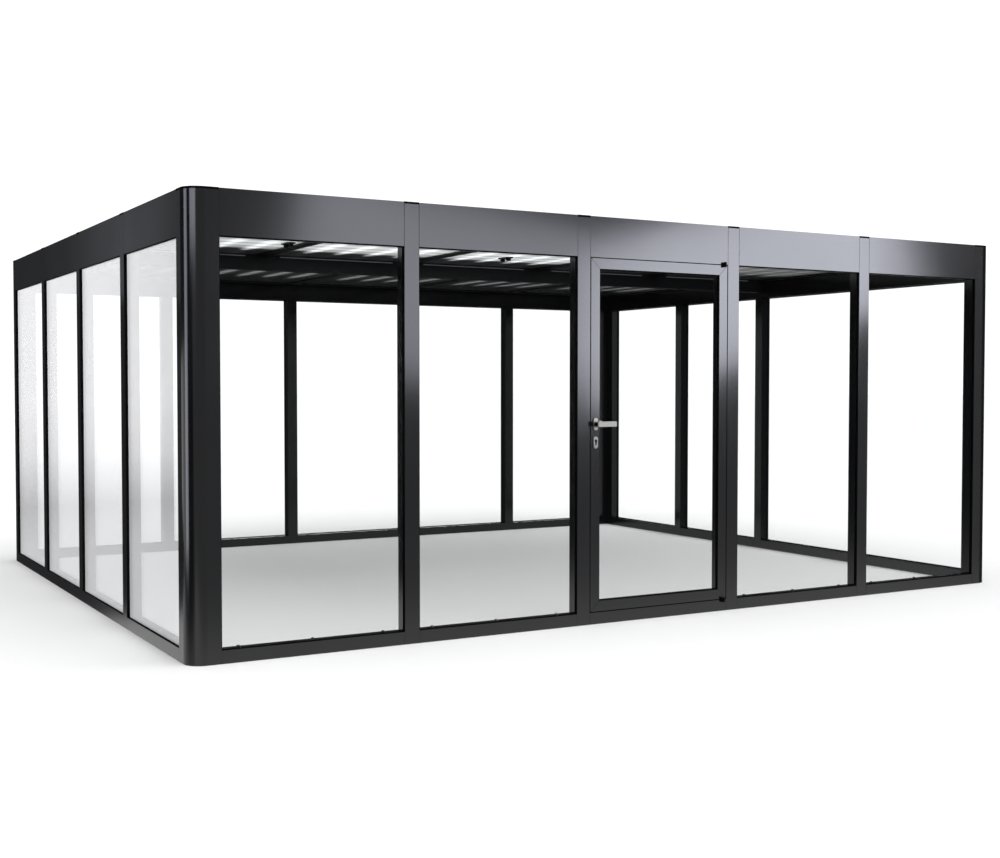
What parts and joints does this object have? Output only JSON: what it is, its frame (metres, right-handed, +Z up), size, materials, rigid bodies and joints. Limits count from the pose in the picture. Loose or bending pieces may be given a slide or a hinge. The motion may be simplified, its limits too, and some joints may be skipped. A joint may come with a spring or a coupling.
{
  "type": "greenhouse",
  "caption": "Free-standing glass greenhouse: post-and-rail aluminium frame, glazed walls, a hinged glass door with lever handles in the front and a flat translucent roof behind a deep fascia.",
  "frame": {"origin": "centre of the footprint of the walls, on the ground", "axes": "+X along the front wall, to the right as seen from in front of the door; +Y from the front wall to the rear wall; +Z up"},
  "size_m": [6.07, 5.024, 2.5],
  "materials": {
    "frame_paint": "satin powder coat, anthracite",
    "door_paint": "satin powder coat, anthracite",
    "clear_glass": "clear float glass",
    "roof_sheet": "translucent multiwall sheet",
    "cap_plastic": "black moulded plastic",
    "stop_rubber": "black rubber-faced strip",
    "hinge_paint": "black satin paint",
    "handle_metal": "satin"
  },
  "bodies": {
    "frame": {"base_rail_front": "frame_paint", "base_rail_left": "frame_paint", "base_rail_rear": "frame_paint", "base_rail_right": "frame_paint", "centre_beam": "frame_paint", "corner_caps": "cap_plastic", "corner_post_front_left": "frame_paint", "corner_post_front_right": "frame_paint", "corner_post_rear_left": "frame_paint", "corner_post_rear_right": "frame_paint", "door_stops": "stop_rubber", "door_threshold": "frame_paint", "fascia_front": "frame_paint", "fascia_left": "frame_paint", "fascia_rear": "frame_paint", "fascia_right": "frame_paint", "front_mullion_1": "frame_paint", "front_mullion_2": "frame_paint", "front_mullion_3": "frame_paint", "front_mullion_4": "frame_paint", "glass_front": "clear_glass", "glass_left": "clear_glass", "glass_rear": "clear_glass", "glass_right": "clear_glass", "hinge_brackets": "hinge_paint", "left_mullions": "frame_paint", "mullion_caps": "cap_plastic", "rafters": "frame_paint", "rear_mullions": "frame_paint", "right_mullions": "frame_paint", "roof_bearers": "frame_paint", "roof_edge_trims": "frame_paint", "roof_sheets_front": "roof_sheet", "roof_sheets_rear": "roof_sheet", "roof_strips": "frame_paint"},
    "door": {"door_lock_stile": "door_paint", "door_hinge_stile": "door_paint", "door_top_rail": "door_paint", "door_bottom_rail": "door_paint", "door_glass": "clear_glass", "hinge_knuckles": "hinge_paint", "handle_rosettes": "handle_metal", "key_escutcheons": "handle_metal"},
    "lever": {"door_lever": "handle_metal"}
  },
  "joints": [
    {"name": "door_hinge", "type": "hinge", "parent": "frame", "child": "door", "pos_m": [0.5, -2.497, 0], "axis": [0, 0, 1], "range_deg": [0, 110]},
    {"name": "lever_turn", "type": "hinge", "parent": "door", "child": "lever", "pos_m": [-0.4975, -2.452, 1.232], "axis": [0, 1, 0], "range_deg": [0, 45], "stiffness_Nm_per_rad": 1, "springref_deg": -20.05}
  ]
}
